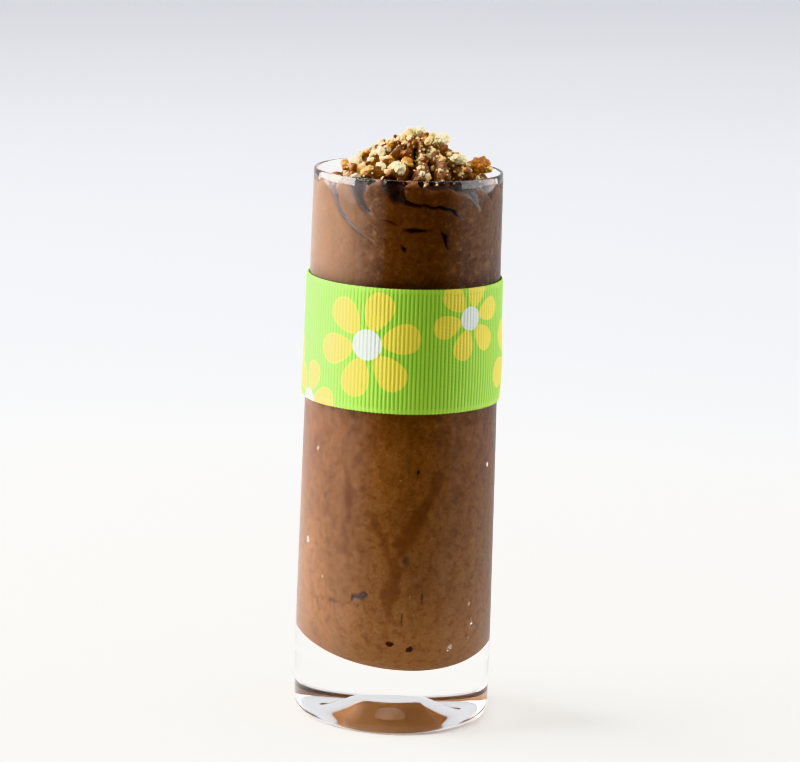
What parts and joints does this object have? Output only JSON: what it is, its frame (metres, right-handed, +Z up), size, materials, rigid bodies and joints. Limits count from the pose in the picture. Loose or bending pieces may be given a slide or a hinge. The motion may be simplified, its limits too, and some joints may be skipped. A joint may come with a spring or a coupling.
{
  "type": "chocolate mousse in a shooter glass",
  "caption": "Chocolate mousse piped into a tall straight shooter glass, with a ridged swirl and biscuit crumbs on top and a daisy-print grosgrain ribbon wound round the glass.",
  "frame": {"origin": "middle of the glass's flat underside, on the surface the glass stands on", "axes": "+Z up along the glass's axis, -Y towards the viewer, with the ribbon's lap at +Y"},
  "size_m": [0.0408, 0.0415, 0.1206],
  "materials": {
    "glass": "clear polished soda-lime glass",
    "mousse": "soft satin aerated chocolate",
    "ribbon": "ribbed green grosgrain with yellow and white daisies",
    "pale_crumb": "dry pale biscuit crumb",
    "toasted_crumb": "toasted, slightly glossy caramel-brown crumb"
  },
  "bodies": {
    "root": {"glass": "glass", "mousse": "mousse", "ribbon": "ribbon"}
  },
  "joints": []
}
